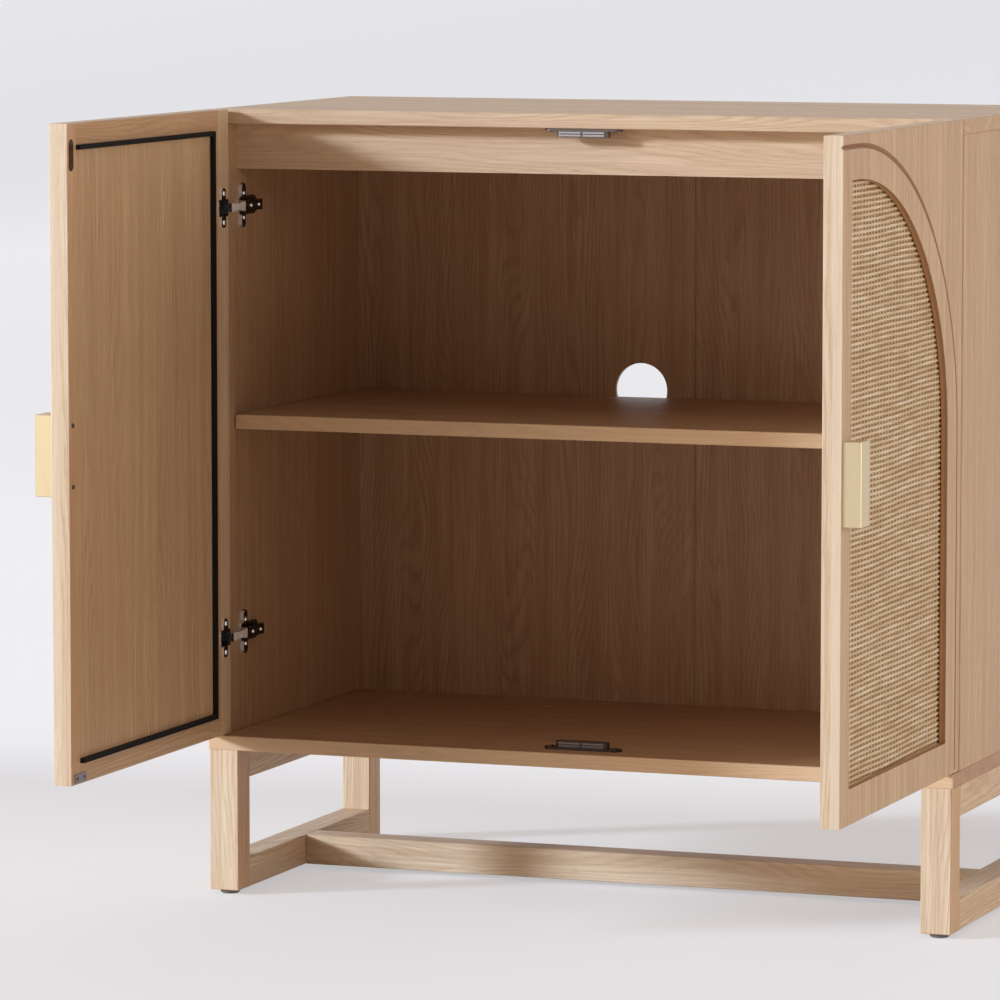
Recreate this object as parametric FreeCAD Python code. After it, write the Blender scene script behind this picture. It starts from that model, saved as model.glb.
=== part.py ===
"""Record cabinet: a carcass with one shelf on a two-frame oak base, and a pair of arched cane doors.

Every piece is modelled in cabinet coordinates, in millimetres: X runs along the front with 0 at the
middle, Y runs back from the front edge of the bottom panel, and Z runs up from the floor.  save() then
moves each piece back or forward by the same distance, so that the finished model's origin is the middle
of its bounding box at floor level.  The doors are modelled closed, in door coordinates: X from the hinge
edge, Y from the outer face, Z from the foot of the door.  hang() swings them out to their open place.
"""
import FreeCAD, Part
import math
import os

V = FreeCAD.Vector
ORIGIN = V(0, 0, 0)
ALONG_X = V(1, 0, 0)
ALONG_Y = V(0, 1, 0)
ALONG_Z = V(0, 0, 1)

# ---------------------------------------------------------------- driving dimensions
FASTENER_SIDES = 6              # flat sides of screws, bolts, dowels and shelf pins

# carcass
WIDTH = 1016.0
DEPTH = 510.0
BODY_HEIGHT = 840.0
BOARD = 19.0
ARRIS = 1.0                     # width of the eased edges of boards and bars

# base
LEG = 40.0                      # square section of legs, rails and stretcher
BASE_HEIGHT = 186.0
BASE_INSET = 2.0                # from the ends of the bottom panel
TENON_LENGTH = 15.0
TENON_SIDE = 18.0
GLIDE_HEIGHT = 6.0
GLIDE_RADIUS = 13.0
GLIDE_SIDES = 18
GLIDE_NAIL_RADIUS = 2.5
GLIDE_NAIL_LENGTH = 16.0
BOLT_RADIUS = 3.0
BOLT_HEAD_RADIUS = 6.0
BOLT_HEAD_HEIGHT = 4.0
BOLT_BITE = 13.0                # depth of a base bolt in the bottom panel
BOLT_FROM_LEG = 70.0

# inside of the carcass
BACK_THICKNESS = 6.0
BACK_INSET = 11.0               # space behind the back panels
BACK_TONGUE = 7.0               # how far the back panels run into their grooves
BACK_GROOVE_END_GAP = 1.0
BATTEN_WIDTH = 60.0
BATTEN_SCREW_ROWS = 3
BATTEN_SCREW_STOP = 1.5         # material left in front of a screw's point
FRONT_RAIL_HEIGHT = 60.0
FRONT_RAIL_SETBACK = 32.0
LOWER_OPENING = 400.5           # clear height under the shelf
SHELF_SETBACK = 19.0
SHELF_REAR_GAP = 10.0
SHELF_END_GAP = 1.5
SHELF_PIN_RADIUS = 2.5
SHELF_PIN_DEPTH = 9.0
SHELF_PIN_REACH = 10.0
SHELF_PIN_INSET = 45.0
CABLE_HOLE_RADIUS = 37.0
CABLE_HOLE_OFFSET = 77.0        # to the left of the middle
CABLE_HOLE_RISE = 8.5           # of the hole's centre above the shelf
DOWEL_RADIUS = 4.0
DOWEL_LENGTH = 30.0
DOWEL_IN_PANEL = 12.0
DOWEL_INSET = 80.0

# doors
DOOR_THICKNESS = 25.0
DOOR_REVEAL = 3.2               # from the inner face of a closed door to the carcass
DOOR_FOOT_GAP = 1.5
DOOR_MEETING_GAP = 3.0
FRONT_BOARD = 12.0
RECESS_DEPTH = 8.5
CANE_THICKNESS = 3.0
CANE_LAP = 7.0
ARCH_FLAT = 59.5                # level stretch of the arch beside the free edge
ARCH_SPRING = 385.0             # from the top of the door down to the level where the arch becomes upright
RECESS_TOP_MARGIN = 53.5
RECESS_HINGE_MARGIN = 60.5
RECESS_FREE_MARGIN = 34.0
RECESS_FOOT_MARGIN = 43.5
GROOVE_TOP_MARGIN = 14.0
GROOVE_HINGE_MARGIN = 17.5
GROOVE_WIDTH = 7.0
GROOVE_DEPTH = 3.7
FREE_STILE = 25.0
HINGE_STILE = 34.0
TOP_RAIL = 26.5
BOTTOM_RAIL = 26.0
INNER_PANEL = 6.0
PANEL_LEDGE = 8.0
STRIP = 6.0                     # square section of the black strip on the inner panel
STRIP_FROM_HINGE = 55.0

# door furniture
PULL_HEIGHT = 102.0
PULL_WIDTH = 33.0
PULL_PROUD = 23.0
PULL_WEB = 12.0
PULL_FLANGE = 6.0
PULL_FROM_EDGE = 3.0
PULL_ARRIS = 0.8
PULL_SCREW_SPACING = 76.0
PULL_SCREW_BITE = 12.0
PULL_SCREW_RADIUS = 2.0
SCREW_HEAD_RADIUS = 3.5
SCREW_HEAD_HEIGHT = 1.6
SCREW_HEAD_TAPER = 0.7
SCREW_RADIUS = 1.75
SCREW_LENGTH = 10.0
TOP_STRIKE_WIDTH = 15.0
TOP_STRIKE_HEIGHT = 40.0
TOP_STRIKE_FROM_TOP = 19.0
TOP_STRIKE_FROM_EDGE = 3.0
TOP_STRIKE_THICKNESS = 1.5
TOP_STRIKE_SUNK = 0.5           # depth of the plate's face below the wood
FOOT_STRIKE_WIDTH = 34.0
FOOT_STRIKE_HEIGHT = 11.5
FOOT_STRIKE_THICKNESS = 1.5
FOOT_STRIKE_FROM_EDGE = 7.0
FOOT_STRIKE_RISE = 2.0
STRIKE_HEAD_RADIUS = 2.6
STRIKE_SCREW_INSET = 6.5

# magnetic catches
CATCH_WIDTH = 105.0
CATCH_DEPTH = 18.0
CATCH_PLATE = 3.2
CATCH_GAP = 4.0                 # behind the carcass front, clear of the strip on a closed door
CATCH_SCREW_INSET = 9.0
HOUSING_WIDTH = 72.0
HOUSING_DEPTH = 15.0
HOUSING_HEIGHT = 8.0
HOUSING_SETBACK = 0.5
MAGNET_WIDTH = 29.0
MAGNET_GAP = 3.0                # between the two magnets of a catch
POLE_THICKNESS = 2.0
POLE_GAP = 1.6
POLE_PROUD = 1.2
POLE_LENGTH = 8.0

# concealed hinges
HINGE_FROM_END = 128.0          # from the top or foot of the door to the middle of a hinge
PIVOT_FROM_EDGE = 9.5           # from the hinge edge of the door to the hinge pin
PIVOT_FROM_FACE = 10.5          # from the outer face of the door to the hinge pin
HINGE_PIN_RADIUS = 1.5
HINGE_PIN_SIDES = 12
HINGE_RUNNING_GAP = 0.05
KNUCKLE_RADIUS = 2.8
CUP_EDGE = 5.5                  # from the hinge edge to the cup
CUP_WIDTH = 28.0
CUP_HEIGHT = 18.0
CUP_WALL = 1.2
CUP_CORNER = 2.0
CUP_FLOOR_GAP = 0.5             # between knuckle and cup floor
FLANGE_THICKNESS = 1.5
FLANGE_HEIGHT = 51.0
FLANGE_WIDTH = 14.0
FLANGE_RIM = 2.0
FLANGE_CORNER = 3.0
CUP_SCREW_SPACING = 38.0
NECK_THICKNESS = 3.0
NECK_FROM_PIVOT = 18.8          # from the pin to the neck, so that the door's corner passes it
NECK_END_HEIGHT = 11.0
NECK_WAIST_HEIGHT = 8.0
PLATE_SETBACK = 47.0            # from the carcass front to the middle of a mounting plate's wings
PLATE_THICKNESS = 3.4
PLATE_WING_HEIGHT = 58.0
PLATE_WING_WIDTH = 13.5
PLATE_BODY_HEIGHT = 24.0
PLATE_BODY_FRONT = 16.0         # from the wings' middle to the front of the plate's body
PLATE_BODY_REAR = 40.0
PLATE_SCREW_SPACING = 32.0
ARM_HEIGHT = 14.0
ARM_WALL = 1.5
ARM_REAR = 42.0                 # from the wings' middle to the rear of the arm
ARM_FRONT = 15.0
ARM_SCREW_RADIUS = 3.0
ARM_SCREW_OFFSETS = (4.0, 30.0)  # of the two arm screws behind the wings' middle

# ---------------------------------------------------------------- sizes that follow from them
CARCASS_FRONT = DOOR_THICKNESS + DOOR_REVEAL
BASE_Z = GLIDE_HEIGHT
BODY_Z = GLIDE_HEIGHT + BASE_HEIGHT
FLOOR_Z = BODY_Z + BOARD                    # top face of the bottom panel
TOP_Z = BODY_Z + BODY_HEIGHT
CEILING_Z = TOP_Z - BOARD                   # underside of the top panel
INSIDE_X = WIDTH / 2 - BOARD                # inner face of a side panel
SHELF_Z = FLOOR_Z + LOWER_OPENING
SHELF_TOP = SHELF_Z + BOARD
BACK_FRONT_Y = DEPTH - BACK_INSET - BACK_THICKNESS
BACK_REAR_Y = DEPTH - BACK_INSET

DOOR_WIDTH = (WIDTH - DOOR_MEETING_GAP) / 2
DOOR_HEIGHT = BODY_HEIGHT - BOARD - DOOR_FOOT_GAP
DOOR_Z = FLOOR_Z + DOOR_FOOT_GAP
OPEN_OUTER_X = PIVOT_FROM_EDGE - PIVOT_FROM_FACE          # outer face of the open door, inside the side
OPEN_EDGE_Y = PIVOT_FROM_EDGE + PIVOT_FROM_FACE           # hinge edge of the open door
MIDDLE_Y = (DEPTH + OPEN_EDGE_Y - DOOR_WIDTH) / 2         # middle of the bounding box, doors open

CUP_DEPTH = DOOR_THICKNESS - PIVOT_FROM_FACE + KNUCKLE_RADIUS + CUP_FLOOR_GAP + CUP_WALL
CUP_X = CUP_EDGE + CUP_WIDTH / 2
HINGE_HEIGHTS = (HINGE_FROM_END, DOOR_HEIGHT - HINGE_FROM_END)   # above the foot of the door
PLATE_Y = CARCASS_FRONT + PLATE_SETBACK


# ---------------------------------------------------------------- helpers
def save(name, *solids):
    """Write one node: its solids, moved so that the origin is the middle of the whole cabinet."""
    placed = [solid.translated(V(0, -MIDDLE_Y, 0)) for solid in solids]
    shape = placed[0] if len(placed) == 1 else Part.makeCompound(placed)
    shape.exportStep("parts/%s.step" % name)


def block(x0, x1, y0, y1, z0, z1, arris=0.0):
    """A rectangular bar or board between two corners, with its edges eased by arris."""
    shape = Part.makeBox(x1 - x0, y1 - y0, z1 - z0, V(x0, y0, z0))
    if arris:
        shape = shape.makeChamfer(arris, shape.Edges)
    return shape


def edges_along(shape, direction):
    """The straight edges of a plain block that run along one axis."""
    return [edge for edge in shape.Edges if abs(edge.tangentAt(edge.FirstParameter).dot(direction)) > 0.99]


def rod(radius, length, start, direction):
    return Part.makeCylinder(radius, length, start, direction)


def faceted_rod(radius, length, start, direction, end_radius=None, sides=FASTENER_SIDES):
    """A rod or taper with flat sides, for fasteners, pins and glides."""
    turn = FreeCAD.Rotation(ALONG_Z, direction)
    rings = []
    for ring_radius, height in ((radius, 0), (end_radius or radius, length)):
        corners = []
        for step in range(sides):
            angle = 2 * math.pi * step / sides
            corner = V(ring_radius * math.cos(angle), ring_radius * math.sin(angle), height)
            corners.append(start + turn.multVec(corner))
        rings.append(Part.makePolygon(corners + corners[:1]))
    return Part.makeLoft(rings, True, True)


def mirrored(shape):
    """The same piece on the other side of the cabinet."""
    return shape.mirror(ORIGIN, ALONG_X)


def prism(points, height, direction):
    """A straight-sided polygon pushed out along direction."""
    outline = Part.makePolygon(points + [points[0]])
    return Part.Face(outline).extrude(direction * height)


def stadium(width, height, thickness):
    """A plate in the XZ plane, centred on the origin, with the ends of its longer side round.

    It grows from Y = 0 towards +Y.
    """
    radius = min(width, height) / 2
    reach = max(width, height) / 2 - radius
    along = ALONG_X if width > height else ALONG_Z
    across = ALONG_Z if width > height else ALONG_X
    corners = [along * s * reach + across * t * radius for s, t in ((-1, -1), (1, -1), (1, 1), (-1, 1))]
    edges = [
        Part.LineSegment(corners[0], corners[1]).toShape(),
        Part.Arc(corners[1], along * (reach + radius), corners[2]).toShape(),
        Part.LineSegment(corners[2], corners[3]).toShape(),
        Part.Arc(corners[3], along * -(reach + radius), corners[0]).toShape(),
    ]
    return Part.Face(Part.Wire(edges)).extrude(ALONG_Y * thickness)


def screw(head_place, direction, head_radius=SCREW_HEAD_RADIUS, radius=SCREW_RADIUS, length=SCREW_LENGTH,
          head_height=SCREW_HEAD_HEIGHT):
    """A raised-head screw: head_place is under the head, and direction points along the shank."""
    head = faceted_rod(head_radius, head_height, head_place, direction * -1, head_radius * SCREW_HEAD_TAPER)
    return head.fuse(faceted_rod(radius, length, head_place, direction))


def single(shape):
    """The one solid that a boolean leaves."""
    return shape.removeSplitter().Solids[0]


# ---------------------------------------------------------------- base
def leg(x_out, y_out, mortise_y, mortise_z_list, side):
    """One leg of a side frame.  x_out is its outer face, mortise_y the face that takes the tenons."""
    x0, x1 = sorted((x_out, x_out - side * LEG))
    bar = block(x0, x1, y_out, y_out + LEG, BASE_Z, BODY_Z, ARRIS)
    middle_x = (x0 + x1) / 2
    half = TENON_SIDE / 2
    y0, y1 = mortise_y
    cuts = [block(middle_x - half, middle_x + half, y0, y1, z - half, z + half) for z in mortise_z_list]
    cuts.append(glide_nail(middle_x, y_out + LEG / 2))
    return bar.cut(cuts)


def base_frame(side):
    """Leg, leg, upper rail and lower rail of one side frame; side is -1 on the left and 1 on the right."""
    x_out = side * (WIDTH / 2 - BASE_INSET)
    x0, x1 = sorted((x_out, x_out - side * LEG))
    middle_x = (x0 + x1) / 2
    half = TENON_SIDE / 2
    rail_heights = {"lower": BASE_Z + LEG / 2, "upper": BODY_Z - LEG / 2}
    heights = list(rail_heights.values())
    pieces = {
        "front_leg": leg(x_out, 0, (LEG - TENON_LENGTH, LEG), heights, side),
        "rear_leg": leg(x_out, DEPTH - LEG, (DEPTH - LEG, DEPTH - LEG + TENON_LENGTH), heights, side),
    }
    for level, z in rail_heights.items():
        bar = block(x0, x1, LEG, DEPTH - LEG, z - LEG / 2, z + LEG / 2, ARRIS)
        tenon = block(middle_x - half, middle_x + half, LEG - TENON_LENGTH, DEPTH - LEG + TENON_LENGTH,
                      z - half, z + half)
        pieces[level + "_rail"] = bar.fuse(tenon)
    inner_x = x_out - side * LEG
    mortise_x = sorted((inner_x, inner_x + side * TENON_LENGTH))
    stretcher_mortise = block(mortise_x[0], mortise_x[1], DEPTH / 2 - half, DEPTH / 2 + half,
                              BASE_Z + LEG / 2 - half, BASE_Z + LEG / 2 + half)
    pieces["lower_rail"] = single(pieces["lower_rail"].cut(stretcher_mortise))
    pieces["upper_rail"] = single(pieces["upper_rail"].cut([base_bolt(middle_x, y) for y in bolt_places()]))
    return pieces


def bolt_places():
    return (LEG + BOLT_FROM_LEG, DEPTH - LEG - BOLT_FROM_LEG)


def base_bolt(x, y):
    """A bolt from under the upper rail into the bottom panel, with its head in the rail."""
    z = BODY_Z - LEG
    head = faceted_rod(BOLT_HEAD_RADIUS, BOLT_HEAD_HEIGHT, V(x, y, z), ALONG_Z)
    return head.fuse(faceted_rod(BOLT_RADIUS, LEG + BOLT_BITE, V(x, y, z), ALONG_Z))


def stretcher():
    inner = WIDTH / 2 - BASE_INSET - LEG
    half = TENON_SIDE / 2
    z = BASE_Z + LEG / 2
    bar = block(-inner, inner, DEPTH / 2 - LEG / 2, DEPTH / 2 + LEG / 2, BASE_Z, BASE_Z + LEG, ARRIS)
    tenon = block(-inner - TENON_LENGTH, inner + TENON_LENGTH, DEPTH / 2 - half, DEPTH / 2 + half,
                  z - half, z + half)
    return single(bar.fuse(tenon))


def glide_nail(x, y):
    return faceted_rod(GLIDE_NAIL_RADIUS, GLIDE_NAIL_LENGTH, V(x, y, BASE_Z), ALONG_Z)


def glide(x, y):
    """A round nail-on glide: a foot with a bevelled edge, and its nail in the leg."""
    edge = GLIDE_HEIGHT / 3
    foot = faceted_rod(GLIDE_RADIUS - edge, edge, V(x, y, 0), ALONG_Z, GLIDE_RADIUS, GLIDE_SIDES)
    disc = faceted_rod(GLIDE_RADIUS, GLIDE_HEIGHT - edge, V(x, y, edge), ALONG_Z, sides=GLIDE_SIDES)
    return single(foot.fuse([disc, glide_nail(x, y)]))


def build_base():
    leg_x = WIDTH / 2 - BASE_INSET - LEG / 2
    for name, side in (("left", -1), ("right", 1)):
        for piece, shape in base_frame(side).items():
            save("%s_%s" % (name, piece), shape)
    save("base_stretcher", stretcher())
    save("glides", *[glide(x, y) for x in (-leg_x, leg_x) for y in (LEG / 2, DEPTH - LEG / 2)])
    save("base_bolts", *[base_bolt(x, y) for x in (-leg_x, leg_x) for y in bolt_places()])


# ---------------------------------------------------------------- carcass
def back_groove():
    """The groove that holds the back panels in the sides, the top and the bottom."""
    reach_x = INSIDE_X + BACK_TONGUE + BACK_GROOVE_END_GAP
    reach_z = BACK_TONGUE + BACK_GROOVE_END_GAP
    return block(-reach_x, reach_x, BACK_FRONT_Y, BACK_REAR_Y, FLOOR_Z - reach_z, CEILING_Z + reach_z)


def dowels():
    """Dowels that join the side panels to the top and the bottom."""
    pins = []
    foot, head = FLOOR_Z - DOWEL_IN_PANEL, CEILING_Z + DOWEL_IN_PANEL
    for x in (-WIDTH / 2 + BOARD / 2, WIDTH / 2 - BOARD / 2):
        for y in (CARCASS_FRONT + DOWEL_INSET, DEPTH - DOWEL_INSET):
            pins.append(faceted_rod(DOWEL_RADIUS, DOWEL_LENGTH, V(x, y, foot), ALONG_Z))
            pins.append(faceted_rod(DOWEL_RADIUS, DOWEL_LENGTH, V(x, y, head), ALONG_Z * -1))
    return pins


def shelf_pins():
    """Straight pins, half in the side panel and half under the shelf."""
    pins = []
    front = CARCASS_FRONT + SHELF_SETBACK + SHELF_PIN_INSET
    rear = BACK_FRONT_Y - SHELF_REAR_GAP - SHELF_PIN_INSET
    for side in (-1, 1):
        for y in (front, rear):
            wall = V(side * INSIDE_X, y, SHELF_Z - SHELF_PIN_RADIUS)
            inward = ALONG_X * -side
            start = wall - inward * SHELF_PIN_DEPTH
            pins.append(faceted_rod(SHELF_PIN_RADIUS, SHELF_PIN_DEPTH + SHELF_PIN_REACH, start, inward))
    return pins


def side_panel(side):
    x0, x1 = sorted((side * WIDTH / 2, side * INSIDE_X))
    board = block(x0, x1, CARCASS_FRONT, DEPTH, FLOOR_Z, CEILING_Z, ARRIS)
    cuts = [back_groove()] + dowels() + shelf_pins() + hinge_plate_screws()
    return single(board.cut(cuts))


def bottom_panel():
    board = block(-WIDTH / 2, WIDTH / 2, 0, DEPTH, BODY_Z, FLOOR_Z, ARRIS)
    leg_x = WIDTH / 2 - BASE_INSET - LEG / 2
    bolts = [base_bolt(x, y) for x in (-leg_x, leg_x) for y in bolt_places()]
    return single(board.cut([back_groove()] + dowels() + bolts + catch_screws(FLOOR_Z, 1)))


def top_panel():
    board = block(-WIDTH / 2, WIDTH / 2, CARCASS_FRONT, DEPTH, CEILING_Z, TOP_Z, ARRIS)
    return single(board.cut([back_groove()] + dowels() + catch_screws(CEILING_Z, -1)))


def back_panel(side):
    """One half of the back.  The left half has the cable hole, which the shelf crosses."""
    x0, x1 = sorted((0, side * (INSIDE_X + BACK_TONGUE)))
    panel = block(x0, x1, BACK_FRONT_Y, BACK_REAR_Y, FLOOR_Z - BACK_TONGUE, CEILING_Z + BACK_TONGUE)
    centre = V(-CABLE_HOLE_OFFSET, BACK_FRONT_Y, SHELF_TOP + CABLE_HOLE_RISE)
    hole = rod(CABLE_HOLE_RADIUS, BACK_THICKNESS, centre, ALONG_Y)
    return single(panel.cut([hole] + batten_screws(side)))


def back_batten():
    """An upright strip behind the seam, to which both halves of the back are screwed."""
    half = BATTEN_WIDTH / 2
    strip = block(-half, half, BACK_REAR_Y, DEPTH, FLOOR_Z, CEILING_Z)
    return single(strip.cut(batten_screws(-1) + batten_screws(1)))


def batten_screws(side):
    spacing = (CEILING_Z - FLOOR_Z) / BATTEN_SCREW_ROWS
    head_y = DEPTH - SCREW_HEAD_HEIGHT
    return [screw(V(side * BATTEN_WIDTH / 4, head_y, FLOOR_Z + spacing * (row + 0.5)), ALONG_Y * -1,
                  length=head_y - BACK_FRONT_Y - BATTEN_SCREW_STOP) for row in range(BATTEN_SCREW_ROWS)]


def front_rail():
    y = CARCASS_FRONT + FRONT_RAIL_SETBACK
    return block(-INSIDE_X, INSIDE_X, y, y + BOARD, CEILING_Z - FRONT_RAIL_HEIGHT, CEILING_Z)


def shelf():
    end = INSIDE_X - SHELF_END_GAP
    front, rear = CARCASS_FRONT + SHELF_SETBACK, BACK_FRONT_Y - SHELF_REAR_GAP
    return block(-end, end, front, rear, SHELF_Z, SHELF_TOP, ARRIS)


def build_carcass():
    save("bottom_panel", bottom_panel())
    save("top_panel", top_panel())
    for name, side in (("left", -1), ("right", 1)):
        save("%s_side_panel" % name, side_panel(side))
        save("%s_back_panel" % name, back_panel(side))
    save("back_batten", back_batten())
    save("back_screws", *(batten_screws(-1) + batten_screws(1)))
    save("front_rail", front_rail())
    save("shelf", shelf())
    save("shelf_pins", *shelf_pins())
    save("carcass_dowels", *dowels())


# ---------------------------------------------------------------- magnetic catches
def catch_level(face_z, up, start, end):
    """Heights of a layer of a catch on the face at face_z, which looks up (1) or down (-1)."""
    return sorted((face_z + up * start, face_z + up * end))


def catch_plate(face_z, up):
    y0 = CARCASS_FRONT + CATCH_GAP
    z0, z1 = catch_level(face_z, up, 0, CATCH_PLATE)
    radius = CATCH_DEPTH / 2
    reach = CATCH_WIDTH / 2 - radius
    plate = block(-reach, reach, y0, y0 + CATCH_DEPTH, z0, z1)
    for end in (-1, 1):
        plate = plate.fuse(rod(radius, CATCH_PLATE, V(end * reach, y0 + radius, z0), ALONG_Z))
    return single(plate.cut(catch_screws(face_z, up)))


def catch_screws(face_z, up):
    y = CARCASS_FRONT + CATCH_GAP + CATCH_DEPTH / 2
    reach = CATCH_WIDTH / 2 - CATCH_SCREW_INSET
    return [screw(V(end * reach, y, face_z + up * CATCH_PLATE), ALONG_Z * -up) for end in (-1, 1)]


def catch_poles(face_z, up):
    """The steel pole strips of both magnets, two to a magnet, which stand out of the housing."""
    y1 = CARCASS_FRONT + CATCH_GAP + HOUSING_SETBACK
    poles = []
    for end in (-1, 1):
        x0, x1 = sorted((end * MAGNET_GAP / 2, end * (MAGNET_GAP / 2 + MAGNET_WIDTH)))
        for step in (-1, 1):
            middle = CATCH_PLATE + HOUSING_HEIGHT / 2 + step * (POLE_GAP + POLE_THICKNESS) / 2
            z0, z1 = catch_level(face_z, up, middle - POLE_THICKNESS / 2, middle + POLE_THICKNESS / 2)
            poles.append(block(x0, x1, y1 - POLE_PROUD, y1 - POLE_PROUD + POLE_LENGTH, z0, z1))
    return poles


def catch_housing(face_z, up):
    y0 = CARCASS_FRONT + CATCH_GAP + HOUSING_SETBACK
    z0, z1 = catch_level(face_z, up, CATCH_PLATE, CATCH_PLATE + HOUSING_HEIGHT)
    radius = HOUSING_DEPTH / 2
    body = block(-HOUSING_WIDTH / 2 + radius, HOUSING_WIDTH / 2 - radius, y0, y0 + HOUSING_DEPTH, z0, z1)
    for end in (-1, 1):
        centre = V(end * (HOUSING_WIDTH / 2 - radius), y0 + radius, z0)
        body = body.fuse(rod(radius, HOUSING_HEIGHT, centre, ALONG_Z))
    return single(body.cut(catch_poles(face_z, up)))


def build_catches():
    places = ((FLOOR_Z, 1), (CEILING_Z, -1))
    save("catch_plates", *[catch_plate(*place) for place in places])
    save("catch_housings", *[catch_housing(*place) for place in places])
    save("catch_magnets", *[pole for place in places for pole in catch_poles(*place)])
    save("catch_screws", *[piece for place in places for piece in catch_screws(*place)])


# ---------------------------------------------------------------- hinges, the half on the carcass
def at_hinge_heights(shapes):
    """Copies of pieces, modelled at height 0 on the left side, at the two hinge heights."""
    return [shape.translated(V(0, 0, DOOR_Z + height)) for height in HINGE_HEIGHTS for shape in shapes]


def on_both_sides(shapes):
    return shapes + [mirrored(shape) for shape in shapes]


def plate_screw_pair():
    face_x = -INSIDE_X + PLATE_THICKNESS
    length = PLATE_THICKNESS + SCREW_LENGTH
    return [screw(V(face_x, PLATE_Y, end * PLATE_SCREW_SPACING / 2), ALONG_X * -1, length=length)
            for end in (-1, 1)]


def hinge_plate_screws():
    return on_both_sides(at_hinge_heights(plate_screw_pair()))


def mounting_plate():
    """The cross-shaped plate on the inside of the side panel: upright wings and a body along the arm."""
    turn = FreeCAD.Rotation(ALONG_Z, -90)
    wings = stadium(PLATE_WING_WIDTH, PLATE_WING_HEIGHT, PLATE_THICKNESS)
    wings.Placement = FreeCAD.Placement(V(-INSIDE_X, PLATE_Y, 0), turn)
    half = PLATE_BODY_HEIGHT / 2
    front, rear = PLATE_Y - PLATE_BODY_FRONT, PLATE_Y + PLATE_BODY_REAR
    body = block(-INSIDE_X, -INSIDE_X + PLATE_THICKNESS, front, rear, -half, half)
    body = body.makeChamfer(PLATE_THICKNESS, edges_along(body, ALONG_X))
    return single(wings.fuse(body).cut(plate_screw_pair()))


def neck_outline():
    """The gooseneck in plan: from the knuckle on the pin, out past the door's corner, back to the arm."""
    pin_x = -WIDTH / 2 + PIVOT_FROM_EDGE
    inner = pin_x + NECK_FROM_PIVOT
    outer = inner + NECK_THICKNESS
    rear = PLATE_Y - ARM_FRONT
    return [V(pin_x, PIVOT_FROM_FACE - KNUCKLE_RADIUS, 0), V(outer, PIVOT_FROM_FACE - KNUCKLE_RADIUS, 0),
            V(outer, rear, 0), V(inner, rear, 0),
            V(inner, PIVOT_FROM_FACE - KNUCKLE_RADIUS + NECK_THICKNESS, 0),
            V(pin_x, PIVOT_FROM_FACE - KNUCKLE_RADIUS + NECK_THICKNESS, 0)]


def hinge_arm():
    """Arm: a channel over the mounting plate, a waisted gooseneck, and the knuckle on the hinge pin."""
    pin = V(-WIDTH / 2 + PIVOT_FROM_EDGE, PIVOT_FROM_FACE, 0)
    neck_x = pin.x + NECK_FROM_PIVOT
    top = neck_x + NECK_THICKNESS
    front, rear = PLATE_Y - ARM_FRONT, PLATE_Y + ARM_REAR
    half = ARM_HEIGHT / 2
    seat = -INSIDE_X + PLATE_THICKNESS
    channel = block(seat, top, front, rear, -half, half)
    hollow = block(seat, top - ARM_WALL, front + ARM_WALL, rear, -half + ARM_WALL, half - ARM_WALL)
    neck = prism(neck_outline(), NECK_END_HEIGHT, ALONG_Z).translated(V(0, 0, -NECK_END_HEIGHT / 2))
    neck = neck.cut(neck_waists(top, front))
    knuckle = rod(KNUCKLE_RADIUS, NECK_END_HEIGHT, pin - ALONG_Z * (NECK_END_HEIGHT / 2), ALONG_Z)
    bore = rod(HINGE_PIN_RADIUS + HINGE_RUNNING_GAP, NECK_END_HEIGHT, pin - ALONG_Z * (NECK_END_HEIGHT / 2),
               ALONG_Z)
    return single(channel.cut(hollow).fuse([neck, knuckle]).cut([bore] + arm_screws()))


def neck_waists(top, front):
    """Two shallow round scoops that narrow the middle of the neck."""
    bite = (NECK_END_HEIGHT - NECK_WAIST_HEIGHT) / 2
    start = PIVOT_FROM_FACE + KNUCKLE_RADIUS
    half_length = (front - start) / 3
    radius = (half_length ** 2 + bite ** 2) / (2 * bite)
    middle = (front + start) / 2
    scoops = []
    for end in (-1, 1):
        centre = V(top - 2 * NECK_THICKNESS, middle, end * (NECK_WAIST_HEIGHT / 2 + radius))
        scoops.append(rod(radius, 3 * NECK_THICKNESS, centre, ALONG_X))
    return scoops


def arm_screws():
    """The two adjusting screws that hold the arm on its plate."""
    top = -WIDTH / 2 + PIVOT_FROM_EDGE + NECK_FROM_PIVOT + NECK_THICKNESS
    seat = -INSIDE_X + PLATE_THICKNESS
    return [screw(V(top, PLATE_Y + offset, 0), ALONG_X * -1, ARM_SCREW_RADIUS, length=top - seat)
            for offset in ARM_SCREW_OFFSETS]


def build_hinge_arms():
    save("hinge_plates", *on_both_sides(at_hinge_heights([mounting_plate()])))
    save("hinge_arms", *on_both_sides(at_hinge_heights([hinge_arm()])))
    save("hinge_screws", *on_both_sides(at_hinge_heights(plate_screw_pair() + arm_screws())))


# ---------------------------------------------------------------- doors
def hang(shape, side):
    """Move a piece from door coordinates to its place on the cabinet, with the door open square."""
    placed = shape.copy()
    placed.rotate(ORIGIN, ALONG_Z, -90)
    placed.translate(V(-WIDTH / 2 + OPEN_OUTER_X, OPEN_EDGE_Y, DOOR_Z))
    return mirrored(placed) if side > 0 else placed


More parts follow.
